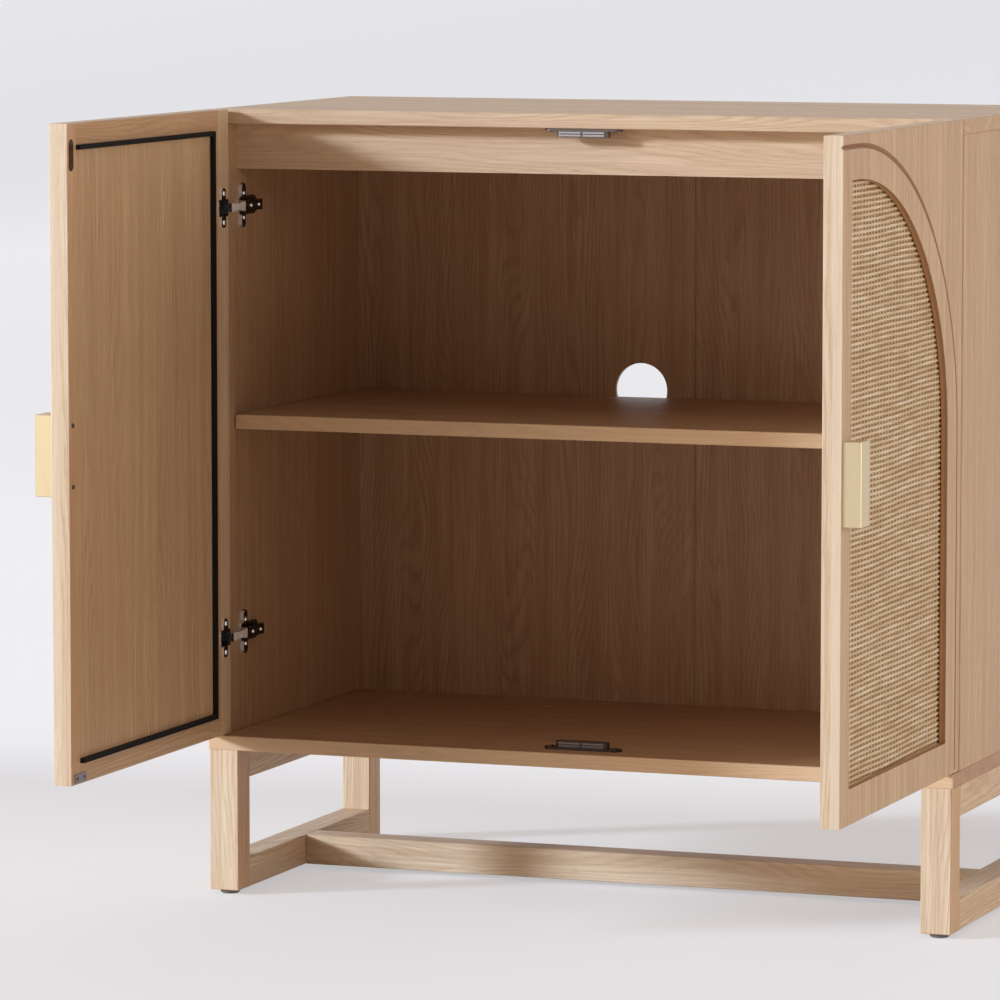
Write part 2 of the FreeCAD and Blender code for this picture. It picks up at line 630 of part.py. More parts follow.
def arch_edges(top_margin, hinge_margin):
    """Arch line of a door, in the plane of its outer face: level, quarter ellipse, then upright."""
    flat_x = DOOR_WIDTH - ARCH_FLAT
    spring_z = DOOR_HEIGHT - ARCH_SPRING
    crown_z = DOOR_HEIGHT - top_margin
    across, rise = flat_x - hinge_margin, crown_z - spring_z
    centre = V(flat_x, 0, spring_z)
    crown, foot = V(flat_x, 0, crown_z), V(hinge_margin, 0, spring_z)
    if across >= rise:
        ellipse = Part.Ellipse(foot, crown, centre)
    else:
        ellipse = Part.Ellipse(crown, foot, centre)
    ends = sorted((ellipse.parameter(foot), ellipse.parameter(crown)))
    if ends[1] - ends[0] > math.pi:
        ends = [ends[1], ends[0] + 2 * math.pi]
    return crown, foot, ellipse.toShape(ends[0], ends[1])


def recess_outline(grow=0.0):
    """Closed outline of the arched opening, grown by a margin all round."""
    crown, foot, arc = arch_edges(RECESS_TOP_MARGIN - grow, RECESS_HINGE_MARGIN - grow)
    free_x = DOOR_WIDTH - RECESS_FREE_MARGIN + grow
    foot_z = RECESS_FOOT_MARGIN - grow
    corners = [crown, V(free_x, 0, crown.z), V(free_x, 0, foot_z), V(foot.x, 0, foot_z), foot]
    sides = [Part.LineSegment(a, b).toShape() for a, b in zip(corners, corners[1:])]
    return Part.Wire(Part.__sortEdges__(sides + [arc]))


def recess_cutter(y0, y1, grow=0.0):
    return Part.Face(recess_outline(grow)).extrude(ALONG_Y * (y1 - y0)).translated(V(0, y0, 0))


def groove_cutter():
    """V-groove swept along the arch line, from the free edge round to the foot of the door."""
    crown, foot, arc = arch_edges(GROOVE_TOP_MARGIN, GROOVE_HINGE_MARGIN)
    run_out = GROOVE_WIDTH
    start = V(DOOR_WIDTH + run_out, 0, crown.z)
    finish = V(foot.x, 0, -run_out)
    path = Part.Wire(Part.__sortEdges__([Part.LineSegment(start, crown).toShape(), arc,
                                         Part.LineSegment(foot, finish).toShape()]))
    half = GROOVE_WIDTH / 2
    lift = 0.5                                 # the profile stands a little out of the face
    corners = [V(0, -lift, half), V(0, -lift, -half), V(0, 0, -half), V(0, GROOVE_DEPTH, 0), V(0, 0, half)]
    profile = Part.makePolygon([start + corner for corner in corners + corners[:1]])
    return path.makePipeShell([profile], True, False)


def cup_pocket():
    """Pocket for a hinge cup, at height 0, open on the inner face."""
    half = CUP_HEIGHT / 2
    pocket = block(CUP_EDGE, CUP_EDGE + CUP_WIDTH, DOOR_THICKNESS - CUP_DEPTH, DOOR_THICKNESS, -half, half)
    return pocket.makeChamfer(CUP_CORNER, edges_along(pocket, ALONG_Y))


def cup_screw_pair():
    face = DOOR_THICKNESS + FLANGE_THICKNESS
    return [screw(V(CUP_X, face, end * CUP_SCREW_SPACING / 2), ALONG_Y * -1) for end in (-1, 1)]


def hinge_pin():
    """The pin across a cup, held in both of its walls."""
    foot = V(PIVOT_FROM_EDGE, PIVOT_FROM_FACE, -CUP_HEIGHT / 2)
    return faceted_rod(HINGE_PIN_RADIUS, CUP_HEIGHT, foot, ALONG_Z, sides=HINGE_PIN_SIDES)


def hinge_cup():
    """Pressed cup with its flange: a boxed pocket for the gooseneck and two upright screw lugs."""
    shell = cup_pocket()
    half = CUP_HEIGHT / 2
    inner, outer = DOOR_THICKNESS, DOOR_THICKNESS + FLANGE_THICKNESS
    bottom = DOOR_THICKNESS - CUP_DEPTH + CUP_WALL
    hollow = block(CUP_EDGE + CUP_WALL, CUP_EDGE + CUP_WIDTH - CUP_WALL, bottom, outer,
                   -half + CUP_WALL, half - CUP_WALL)
    lugs = block(CUP_X - FLANGE_WIDTH / 2, CUP_X + FLANGE_WIDTH / 2, inner, outer,
                 -FLANGE_HEIGHT / 2, FLANGE_HEIGHT / 2)
    lugs = lugs.makeChamfer(FLANGE_CORNER, edges_along(lugs, ALONG_Y))
    rim = block(CUP_EDGE - FLANGE_RIM / 2, CUP_EDGE + CUP_WIDTH + FLANGE_RIM, inner, outer,
                -half - FLANGE_RIM, half + FLANGE_RIM)
    return single(shell.fuse([lugs, rim]).cut([hollow, hinge_pin()] + cup_screw_pair()))


def at_hinges(shapes):
    """Copies of hinge pieces in door coordinates at both hinge heights."""
    return [shape.translated(V(0, 0, height)) for height in HINGE_HEIGHTS for shape in shapes]


def pull_x():
    """The pull's edge nearest to the free edge of the door."""
    return DOOR_WIDTH - PULL_FROM_EDGE


def pull():
    """Edge pull of L section: a web on the door's face and a flange that the fingers go behind."""
    x1 = pull_x()
    z0 = DOOR_HEIGHT / 2 - PULL_HEIGHT / 2
    web = block(x1 - PULL_WEB, x1, -PULL_PROUD, 0, z0, z0 + PULL_HEIGHT)
    flange = block(x1 - PULL_WIDTH, x1, -PULL_PROUD, -PULL_PROUD + PULL_FLANGE, z0, z0 + PULL_HEIGHT)
    body = single(web.fuse(flange))
    outside = [edge for edge in body.Edges if edge.BoundBox.YMin < -PULL_PROUD + 0.01]
    return single(body.makeChamfer(PULL_ARRIS, outside).cut(pull_screws()))


def pull_screws():
    """Screws from inside the door into the pull's web."""
    x = pull_x() - PULL_WEB / 2
    middle = DOOR_HEIGHT / 2
    return [screw(V(x, DOOR_THICKNESS, middle + end * PULL_SCREW_SPACING / 2), ALONG_Y * -1,
                  radius=PULL_SCREW_RADIUS, length=DOOR_THICKNESS + PULL_SCREW_BITE) for end in (-1, 1)]


def top_strike_place():
    return V(DOOR_WIDTH - TOP_STRIKE_FROM_EDGE - TOP_STRIKE_WIDTH / 2, 0,
             DOOR_HEIGHT - TOP_STRIKE_FROM_TOP - TOP_STRIKE_HEIGHT / 2)


def top_strike_pocket():
    depth = TOP_STRIKE_SUNK + TOP_STRIKE_THICKNESS
    pocket = stadium(TOP_STRIKE_WIDTH, TOP_STRIKE_HEIGHT, depth)
    return pocket.translated(top_strike_place() + V(0, DOOR_THICKNESS - depth, 0))


def strike_screw(place):
    return screw(place, ALONG_Y * -1, head_radius=STRIKE_HEAD_RADIUS, head_height=SCREW_HEAD_HEIGHT / 2)


def top_strike_screws():
    place = top_strike_place() + V(0, DOOR_THICKNESS - TOP_STRIKE_SUNK, 0)
    reach = TOP_STRIKE_HEIGHT / 2 - STRIKE_SCREW_INSET
    return [strike_screw(place + V(0, 0, end * reach)) for end in (-1, 1)]


def foot_strike_screws():
    place = foot_strike_place() + V(0, DOOR_THICKNESS + FOOT_STRIKE_THICKNESS, 0)
    reach = FOOT_STRIKE_WIDTH / 2 - STRIKE_SCREW_INSET
    return [strike_screw(place + V(end * reach, 0, 0)) for end in (-1, 1)]


def foot_strike_place():
    return V(DOOR_WIDTH - FOOT_STRIKE_FROM_EDGE - FOOT_STRIKE_WIDTH / 2, 0,
             FOOT_STRIKE_RISE + FOOT_STRIKE_HEIGHT / 2)


def strikes():
    """The oblong plate sunk near the top of the door and the small plate at its foot."""
    top = stadium(TOP_STRIKE_WIDTH, TOP_STRIKE_HEIGHT, TOP_STRIKE_THICKNESS)
    sunk_face = DOOR_THICKNESS - TOP_STRIKE_SUNK
    top = top.translated(top_strike_place() + V(0, sunk_face - TOP_STRIKE_THICKNESS, 0))
    half_width, half_height = FOOT_STRIKE_WIDTH / 2, FOOT_STRIKE_HEIGHT / 2
    foot = block(-half_width, half_width, 0, FOOT_STRIKE_THICKNESS, -half_height, half_height)
    foot = foot.makeChamfer(FOOT_STRIKE_THICKNESS, edges_along(foot, ALONG_Y))
    foot = foot.translated(foot_strike_place() + V(0, DOOR_THICKNESS, 0))
    return [top.cut(top_strike_screws()), foot.cut(foot_strike_screws())]


def eased_outline(board, face_y):
    """The board with the edges eased that lie in one face of the door and on the door's outline."""
    slack = ARRIS / 2

    def on_outline(edge):
        box = edge.BoundBox
        beside = box.XMax < slack or box.XMin > DOOR_WIDTH - slack
        above = box.ZMax < slack or box.ZMin > DOOR_HEIGHT - slack
        return (beside or above) and abs(box.YMin - face_y) < slack and abs(box.YMax - face_y) < slack

    return board.makeChamfer(ARRIS, [edge for edge in board.Edges if on_outline(edge)])


def front_board():
    """Outer board of the door, with the arched opening, the V-groove and a rebate for the cane."""
    board = eased_outline(block(0, DOOR_WIDTH, 0, FRONT_BOARD, 0, DOOR_HEIGHT), 0)
    opening = recess_cutter(0, FRONT_BOARD)
    rebate = recess_cutter(RECESS_DEPTH, FRONT_BOARD, CANE_LAP)
    cuts = [opening, rebate, groove_cutter()] + at_hinges([cup_pocket()]) + pull_screws()
    return single(board.cut(cuts))


def cane_panel():
    """Woven cane on its backing, held in the rebate behind the arched opening."""
    return recess_cutter(RECESS_DEPTH, RECESS_DEPTH + CANE_THICKNESS, CANE_LAP)


def frame_member(x0, x1, z0, z1, ledge):
    """A stile or rail behind the front board; ledge is its extra reach under the inner panel."""
    face = eased_outline(block(x0, x1, FRONT_BOARD, DOOR_THICKNESS, z0, z1), DOOR_THICKNESS)
    lx0, lx1, lz0, lz1 = ledge
    return face.fuse(block(lx0, lx1, FRONT_BOARD, DOOR_THICKNESS - INNER_PANEL, lz0, lz1))


def door_frame():
    """Free stile, hinge stile, top rail and bottom rail, which carry the inner panel on their ledges."""
    in0, in1 = HINGE_STILE, DOOR_WIDTH - FREE_STILE
    low, high = BOTTOM_RAIL, DOOR_HEIGHT - TOP_RAIL
    fittings = pull_screws() + [top_strike_pocket()] + top_strike_screws() + foot_strike_screws()
    hinge_cuts = at_hinges([cup_pocket()] + cup_screw_pair())
    free = frame_member(in1, DOOR_WIDTH, 0, DOOR_HEIGHT, (in1 - PANEL_LEDGE, in1, low, high))
    hinge = frame_member(0, in0, 0, DOOR_HEIGHT, (in0, in0 + PANEL_LEDGE, low, high))
    ledge_x = (in0 + PANEL_LEDGE, in1 - PANEL_LEDGE)
    top = frame_member(in0, in1, high, DOOR_HEIGHT, ledge_x + (high - PANEL_LEDGE, high))
    foot = frame_member(in0, in1, 0, low, ledge_x + (low, low + PANEL_LEDGE))
    return {"free_stile": single(free.cut(fittings)), "hinge_stile": single(hinge.cut(hinge_cuts)),
            "top_rail": single(top), "bottom_rail": single(foot.cut(foot_strike_screws()))}


def inner_panel():
    return block(HINGE_STILE, DOOR_WIDTH - FREE_STILE, DOOR_THICKNESS - INNER_PANEL, DOOR_THICKNESS,
                 BOTTOM_RAIL, DOOR_HEIGHT - TOP_RAIL)


def edge_strip():
    """Black square strip round three sides of the inner panel, open towards the free stile."""
    x0, x1 = STRIP_FROM_HINGE, DOOR_WIDTH - FREE_STILE
    z0, z1 = BOTTOM_RAIL, DOOR_HEIGHT - TOP_RAIL
    y0, y1 = DOOR_THICKNESS, DOOR_THICKNESS + STRIP
    outer = block(x0, x1, y0, y1, z0, z1)
    return outer.cut(block(x0 + STRIP, x1, y0, y1, z0 + STRIP, z1 - STRIP))


def build_doors():
    pieces = {
        "front_board": [front_board()],
        "cane_panel": [cane_panel()],
        "inner_panel": [inner_panel()],
        "edge_strip": [edge_strip()],
        "pull": [pull()],
        "strikes": strikes(),
        "hinge_cups": at_hinges([hinge_cup()]),
        "hinge_pins": at_hinges([hinge_pin()]),
        "screws": pull_screws() + top_strike_screws() + foot_strike_screws() + at_hinges(cup_screw_pair()),
    }
    pieces.update({name: [shape] for name, shape in door_frame().items()})
    for name, side in (("left", -1), ("right", 1)):
        for piece, shapes in pieces.items():
            save("%s_door_%s" % (name, piece), *[hang(shape, side) for shape in shapes])


os.makedirs("parts", exist_ok=True)
build_base()
build_carcass()
build_catches()
build_hinge_arms()
build_doors()
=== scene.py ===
"""Record cabinet: oak veneer and solid oak, woven cane doors, brass pulls, nickel hinges."""

import math

import bpy
import numpy as np
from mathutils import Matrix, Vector


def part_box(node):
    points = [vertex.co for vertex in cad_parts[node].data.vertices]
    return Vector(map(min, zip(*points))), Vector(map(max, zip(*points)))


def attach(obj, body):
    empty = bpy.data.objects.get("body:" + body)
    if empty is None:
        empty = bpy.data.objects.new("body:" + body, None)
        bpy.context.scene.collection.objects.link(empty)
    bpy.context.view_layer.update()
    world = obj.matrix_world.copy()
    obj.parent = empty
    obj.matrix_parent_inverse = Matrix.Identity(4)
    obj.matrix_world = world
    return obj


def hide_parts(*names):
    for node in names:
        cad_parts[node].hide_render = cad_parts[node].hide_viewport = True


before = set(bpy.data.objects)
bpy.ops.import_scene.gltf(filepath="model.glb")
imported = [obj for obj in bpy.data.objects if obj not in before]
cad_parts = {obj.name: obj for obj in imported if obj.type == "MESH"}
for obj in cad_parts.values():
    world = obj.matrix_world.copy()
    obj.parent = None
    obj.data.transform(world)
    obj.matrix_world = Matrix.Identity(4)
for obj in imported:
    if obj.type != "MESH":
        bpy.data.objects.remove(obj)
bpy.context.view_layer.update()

MM = 0.001
RNG = np.random.default_rng(7)
SIDES = ("left", "right")


# ---------------------------------------------------------------- colour and nodes
def colour(code):
    """Linear red, green, blue and alpha from an sRGB hex value."""
    channels = [int(code[i:i + 2], 16) / 255 for i in (1, 3, 5)]
    linear = [c / 12.92 if c <= 0.04045 else ((c + 0.055) / 1.055) ** 2.4 for c in channels]
    return (*linear, 1.0)


def feed(tree, node, inputs):
    """Give a node's inputs their values, in order or by name.

    A socket is linked, and so is the first output of a node.
    """
    in_use = [socket for socket in node.inputs if socket.enabled]
    for key, value in inputs.items() if isinstance(inputs, dict) else enumerate(inputs):
        socket = node.inputs[key] if isinstance(key, str) else in_use[key]
        if isinstance(value, bpy.types.Node):
            value = next(output for output in value.outputs if output.enabled)
        if isinstance(value, bpy.types.NodeSocket):
            tree.links.new(value, socket)
        else:
            socket.default_value = value


def add(tree, kind, inputs=(), stops=(), **settings):
    """A new node with its settings and links.

    stops are for a colour ramp: pairs of a position and a grey level or a colour.
    """
    node = tree.nodes.new("ShaderNode" + kind)
    for name, value in settings.items():
        setattr(node, name, value)
    elements = node.color_ramp.elements if stops else ()
    while len(elements) < len(stops):
        elements.new(0.5)
    for element, (position, value) in zip(elements, stops):
        element.position = position
        element.color = value if isinstance(value, tuple) else (value, value, value, 1.0)
    feed(tree, node, inputs)
    return node


def surface(name, **values):
    """A new material with its shader; values go to the shader's own sockets."""
    material = bpy.data.materials.new(name)
    material.use_nodes = True
    tree = material.node_tree
    shader = tree.nodes["Principled BSDF"]
    feed(tree, shader, {key.replace("_", " "): value for key, value in values.items()})
    return material, tree, shader


def recolour(material, share, code):
    """Mix another colour over the surface where share is above 0."""
    tree = material.node_tree
    base = tree.nodes["Principled BSDF"].inputs["Base Color"]
    under = base.links[0].from_socket if base.is_linked else tuple(base.default_value)
    mixed = add(tree, "Mix", (share, under, colour(code)), data_type="RGBA")
    feed(tree, tree.nodes["Principled BSDF"], {"Base Color": mixed})


def texture(tree, shader, pattern, roughness=None, depth=None):
    """Let a pattern move the roughness between two values, and raise a relief of that depth."""
    if roughness:
        low, high = roughness
        rough = add(tree, "MapRange", {"Value": pattern, "To Min": low, "To Max": high})
        feed(tree, shader, {"Roughness": rough})
    if depth:
        feed(tree, shader, {"Normal": add(tree, "Bump", {"Height": pattern, "Distance": depth})})


def flecks(tree, place, sizes, detail=2.0):
    """Noise in flecks of that size in metres along each axis."""
    scale = tuple(1 / size for size in sizes)
    stretched = add(tree, "VectorMath", (place, scale), operation="MULTIPLY")
    return add(tree, "TexNoise", {"Vector": stretched, "Scale": 1.0, "Detail": detail})


def facing(tree, axis):
    """How far the surface looks along an axis of the object, from -1 to 1."""
    normal = add(tree, "TexCoord").outputs["Normal"]
    return add(tree, "SeparateXYZ", (normal,)).outputs[axis]


# ---------------------------------------------------------------- oak
GROWTH_RING = 6 * MM             # from one growth ring to the next, on a plain-sliced face
RING_SLOPE = 0.6                 # how far a ring moves over the face for each depth in the board
FIGURE_WIDTH = 80 * MM           # width, length and reach of the arches that the rings draw
FIGURE_LENGTH = 520 * MM
FIGURE_REACH = 240 * MM
BEND_WIDTH = 45 * MM             # the fibres lean a little to one side and the other
BEND_LENGTH = 330 * MM
BEND_REACH = 18 * MM
RUFFLE_WIDTH = 9 * MM            # small waves in a ring's line
RUFFLE_LENGTH = 70 * MM
RUFFLE_REACH = 6 * MM
ZONE_WIDTH = 60 * MM             # zones where the rings show more or less
ZONE_LENGTH = 600 * MM
STREAK_WIDTH = 14 * MM
STREAK_LENGTH = 900 * MM
FIBRE_WIDTH = 2.2 * MM
FIBRE_LENGTH = 95 * MM
PORE_WIDTH = 0.8 * MM            # drawn three times the real width, so that the pores show
PORE_LENGTH = 16 * MM
PORE_DEPTH = 0.08 * MM
PORES_ALL_OVER = 0.05            # how dark the pores are everywhere
PORES_IN_RING = 0.26             # and how much darker in the early wood
RING_SHARE = 0.7                 # how strong the growth rings' tan is
OIL_IOR = 1.46
OILED_ROUGHNESS = (0.46, 0.62)   # of the fibres, and in the pores
LEAF_ACROSS = 0.731              # metres from one board's leaf of wood to the next board's
LEAF_ALONG = 1.93

# sRGB colours of the latewood, the growth rings and the open pores
# the inner tone is a browner, darker copy of the veneer: a painted shade for the inside of the
# cabinet
OAK_TONES = {"veneer": ("#DEC2A3", "#B38E6B", "#7E5A3B"),
             "solid": ("#EEDBC2", "#C5A37F", "#967150"),
             "inner": ("#CDAA88", "#A17756", "#6E4830")}


def oiled_oak(name, grain, normal, leaf, tone, figure):
    """Plain-sliced oak with a matt oil: pale latewood, tan growth rings, silky fibres, short pores.

    The fibres run along the grain axis and the board's face looks along the normal axis.  leaf
    moves the board to another part of the tree, and figure is how strongly the rings arch.
    """
    light, tan, dark = OAK_TONES[tone]
    material, tree, shader = surface(name, IOR=OIL_IOR, Base_Color=colour(light))
    place = add(tree, "TexCoord").outputs["Object"]
    axes = add(tree, "SeparateXYZ", (place,)).outputs
    across = "XYZ".replace(grain, "").replace(normal, "")
    face = add(tree, "Math", (axes[across], LEAF_ACROSS * leaf), operation="ADD")
    along = add(tree, "Math", (axes[grain], LEAF_ALONG * leaf), operation="ADD")
    straight = add(tree, "CombineXYZ", (face, axes[normal], along))

    def fleck(board, width, length, detail=2.0):
        """Flecks of that width across the fibres and that length along them."""
        return flecks(tree, board, (width, width, length), detail)

    lean = fleck(straight, BEND_WIDTH, BEND_LENGTH, 1.0)
    bend = add(tree, "Math", (lean, BEND_REACH), operation="MULTIPLY")
    leaning = add(tree, "Math", (face, bend), operation="ADD")
    board = add(tree, "CombineXYZ", (leaning, axes[normal], along))

    arch = fleck(straight, FIGURE_WIDTH, FIGURE_LENGTH, 1.0)
    flow = add(tree, "Math", (arch, FIGURE_REACH * figure), operation="MULTIPLY")
    wave = fleck(board, RUFFLE_WIDTH, RUFFLE_LENGTH)
    ruffle = add(tree, "Math", (wave, RUFFLE_REACH), operation="MULTIPLY")
    radius = add(tree, "Math", (axes[normal], RING_SLOPE, leaning), operation="MULTIPLY_ADD")
    flowing = add(tree, "Math", (radius, flow), operation="ADD")
    wandering = add(tree, "Math", (flowing, ruffle), operation="ADD")
    turns = add(tree, "Math", (wandering, GROWTH_RING), operation="DIVIDE")
    ring = add(tree, "Math", (turns,), operation="FRACT")
    early = add(tree, "ValToRGB", (ring,), ((0.0, 0.7), (0.12, 1.0), (0.42, 0.35), (0.66, 0.0),
                                            (0.90, 0.2)))
    zone = add(tree, "ValToRGB", (fleck(straight, ZONE_WIDTH, ZONE_LENGTH),),
               ((0.34, 0.25), (0.66, 0.95)))
    streak = add(tree, "ValToRGB", (fleck(board, STREAK_WIDTH, STREAK_LENGTH),),
                 ((0.36, 0.0), (0.64, 0.36)))
    fibre = add(tree, "ValToRGB", (fleck(board, FIBRE_WIDTH, FIBRE_LENGTH, 4.0),),
                ((0.38, 0.0), (0.68, 0.50)))
    pores = add(tree, "ValToRGB", (fleck(board, PORE_WIDTH, PORE_LENGTH, 1.0),),
                ((0.55, 0.0), (0.70, 1.0)))

    # the pores crowd in the early wood of each ring
    crowd = add(tree, "Math", (early, PORES_IN_RING), operation="MULTIPLY")
    crowd = add(tree, "Math", (crowd, PORES_ALL_OVER), operation="ADD")
    porous = add(tree, "Math", (pores, crowd), operation="MULTIPLY")
    ringed = add(tree, "Math", (early, zone), operation="MULTIPLY")
    ringed = add(tree, "Math", (ringed, RING_SHARE), operation="MULTIPLY")
    for share, code in ((ringed, tan), (streak, tan), (fibre, tan), (porous, dark)):
        recolour(material, share, code)
    texture(tree, shader, pores, roughness=OILED_ROUGHNESS)
    solid = add(tree, "Math", (1.0, pores), operation="SUBTRACT")
    texture(tree, shader, solid, depth=PORE_DEPTH)
    return material


FACING = 0.5                     # a surface that looks further along an axis than this faces it
# share and colour of the painted shade on the side panels' inner faces
INSIDE_SHADE_SHARE = 0.28
INSIDE_SHADE_TINT = "#7C5030"
SEAM_HALF = 0.8 * MM             # drawn wide enough to show
SEAM_SHARE = 0.45
SEAM_SHADE = "#3A2214"
GROOVE_DEPTH = 3.7 * MM
FACE_SKIN = 0.4 * MM             # nearer to the face than this is still the veneer
BOARD_RIM = 4 * MM               # nearer to the board's edges than this is its lipping
ROUTED_SHARE = 0.8
ROUTED_WALL = "#9A6C4C"
ROUTED_FLOOR = "#CC9966"


def tint_lipping_and_shade(material, axis, share, code):
    """Tint the faces that look either way along the axis: lipping, painted light and shade."""
    tree = material.node_tree
    look = add(tree, "Math", (facing(tree, axis),), operation="ABSOLUTE")
    edge = add(tree, "Math", (look, FACING), operation="GREATER_THAN")
    recolour(material, add(tree, "Math", (edge, share), operation="MULTIPLY"), code)


def paint_inside_shade(material, inward):
    """Painted shade, a browner tint, on the side panel's inner face, which looks inward, -1 or 1.
    """
    tree = material.node_tree
    look = add(tree, "Math", (facing(tree, "X"), inward), operation="MULTIPLY")
    inside = add(tree, "Math", (look, FACING), operation="GREATER_THAN")
    share = add(tree, "Math", (inside, INSIDE_SHADE_SHARE), operation="MULTIPLY")
    recolour(material, share, INSIDE_SHADE_TINT)


def seam(material):
    """Dark line where the two halves of the back meet in the middle."""
    tree = material.node_tree
    place = add(tree, "TexCoord").outputs["Object"]
    sideways = add(tree, "SeparateXYZ", (place,)).outputs["X"]
    off = add(tree, "Math", (sideways,), operation="ABSOLUTE")
    line = add(tree, "Math", (off, SEAM_HALF), operation="LESS_THAN")
    share = add(tree, "Math", (line, SEAM_SHARE), operation="MULTIPLY")
    recolour(material, share, SEAM_SHADE)


def routed_edges(material, low, high):
    """The walls of the groove and the recess: routed plywood, redder than the veneer.

    low and high are the board's corners.
    """
    tree = material.node_tree
    place = add(tree, "TexCoord").outputs["Object"]
    axes = add(tree, "SeparateXYZ", (place,)).outputs
    outer = max(abs(low.x), abs(high.x))
    out = add(tree, "Math", (axes["X"],), operation="ABSOLUTE")
    behind = add(tree, "Math", (out, outer - FACE_SKIN), operation="LESS_THAN")
    for axis, least, most in (("Y", low.y, high.y), ("Z", low.z, high.z)):
        middle, reach = (least + most) / 2, (most - least) / 2 - BOARD_RIM
        off = add(tree, "Math", (axes[axis], middle), operation="SUBTRACT")
        off = add(tree, "Math", (off,), operation="ABSOLUTE")
        within = add(tree, "Math", (off, reach), operation="LESS_THAN")
        behind = add(tree, "Math", (behind, within), operation="MULTIPLY")
    share = add(tree, "Math", (behind, ROUTED_SHARE), operation="MULTIPLY")
    recolour(material, share, ROUTED_WALL)
    out = add(tree, "Math", (axes["X"],), operation="ABSOLUTE")
    deep = add(tree, "Math", (out, outer - GROOVE_DEPTH - FACE_SKIN), operation="LESS_THAN")
    deep = add(tree, "Math", (behind, deep), operation="MULTIPLY")
    share = add(tree, "Math", (deep, ROUTED_SHARE), operation="MULTIPLY")
    recolour(material, share, ROUTED_FLOOR)


# grain axis, the axis that the face looks along, tone, and strength of the figure
OAK_BOARDS = {
    # the inner tone paints the shade inside the cabinet on the bottom, the shelf and the back
    "bottom_panel": ("X", "Z", "inner", 0.5), "top_panel": ("X", "Z", "veneer", 0.5),
    "left_side_panel": ("Z", "X", "veneer", 0.3), "right_side_panel": ("Z", "X", "veneer", 0.3),
    "left_back_panel": ("Z", "Y", "inner", 0.6), "right_back_panel": ("Z", "Y", "inner", 0.6),
    "back_batten": ("Z", "Y", "solid", 0.2), "front_rail": ("X", "Y", "veneer", 0.7),
    "shelf": ("X", "Z", "inner", 0.5), "carcass_dowels": ("Z", "Y", "solid", 0.2),
    "base_stretcher": ("X", "Y", "solid", 0.5),
}
for side in SIDES:
    for piece in ("front_leg", "rear_leg"):
        OAK_BOARDS[f"{side}_{piece}"] = ("Z", "Y", "solid", 0.3)
    for piece in ("upper_rail", "lower_rail"):
        OAK_BOARDS[f"{side}_{piece}"] = ("Y", "X", "solid", 0.4)
    for piece in ("free_stile", "hinge_stile"):
        OAK_BOARDS[f"{side}_door_{piece}"] = ("Z", "X", "solid", 0.2)
    for piece in ("top_rail", "bottom_rail"):
        OAK_BOARDS[f"{side}_door_{piece}"] = ("Y", "X", "veneer", 0.3)
    OAK_BOARDS[f"{side}_door_front_board"] = ("Z", "X", "veneer", 0.15)
    OAK_BOARDS[f"{side}_door_inner_panel"] = ("Z", "X", "veneer", 0.35)

PALE_LIPPING = "#F6E6D0"
# honey is solid-oak lipping on the front edges of the shelf and the bottom, and also painted light
# on these edges against their shaded tops
HONEY_LIPPING_AND_LIGHT = "#FCDDB8"
# amber is a painted shade over the faces that look along X: the sides of the legs, the free stiles
# and the doors' top rails
AMBER_PAINTED_SHADE = "#C88E59"
# how a board's name ends: the axis that its tinted faces look along, the tint's share and colour;
# the tints are lipping, painted light and painted shade
LIPPING_AND_SHADE_TINTS = {
    "front_board": ("Y", 0.5, PALE_LIPPING),
    "top_panel": ("Y", 0.14, PALE_LIPPING), "front_rail": ("Y", 0.14, PALE_LIPPING),
    "shelf": ("Y", 0.5, HONEY_LIPPING_AND_LIGHT), "bottom_panel": ("Y", 0.5, HONEY_LIPPING_AND_LIGHT),
    "leg": ("X", 0.4, AMBER_PAINTED_SHADE), "free_stile": ("X", 0.4, AMBER_PAINTED_SHADE),
    "door_top_rail": ("X", 0.2, AMBER_PAINTED_SHADE),
}


# ---------------------------------------------------------------- metals, cane and plastics
BRUSH_WIDTH = 0.6 * MM           # scratches, drawn wider than real so that they show
BRUSH_LENGTH = 45 * MM
BRUSH_DEPTH = 0.02 * MM
SATIN_ROUGHNESS = (0.26, 0.42)   # of brushed brass and plated steel
PLATING_CLOUD = 2 * MM
NICKEL_CLOUD = 6 * MM
NICKEL_ROUGHNESS = (0.18, 0.34)
HIGHLIGHT_FACING = 0.6                 # what looks further to the front or back than this is a cut edge, with a painted highlight
NECK_EDGE_HIGHLIGHT_SHARE = 0.6                  # how strong the painted highlight on the gooseneck's cut edges is
NECK_METALLIC = 0.15
LACQUER_PEEL = 1.2 * MM
LACQUER_RELIEF = 0.02 * MM
LACQUER_METALLIC = 0.55
LACQUER_ROUGHNESS = (0.30, 0.44)
MOULD_GRAIN = 0.8 * MM
MOULD_RELIEF = 0.03 * MM
PIT_SHADE = 0.75
# the dark nickel is a painted dark reflection and the bright nickel a painted highlight
NICKEL_DARK_REFLECTION = "#463C37"
NICKEL_PAINTED_HIGHLIGHT = "#F4F8FF"
DOOR_MIDDLE_Y = -0.1             # between a door's hinges and its pull; the screws on the hinge side get a painted glint
CABINET_MIDDLE_Z = 0.5


def brushed_brass():
    """Solid brass, brushed along its height and lacquered: a soft bright gold."""
    material, tree, shader = surface("brushed_brass", Metallic=1.0, Base_Color=colour("#D6C29C"))
    place = add(tree, "TexCoord").outputs["Object"]
    scratch = flecks(tree, place, (BRUSH_WIDTH, BRUSH_WIDTH, BRUSH_LENGTH), 3.0)
    texture(tree, shader, scratch, roughness=SATIN_ROUGHNESS, depth=BRUSH_DEPTH)
    return material


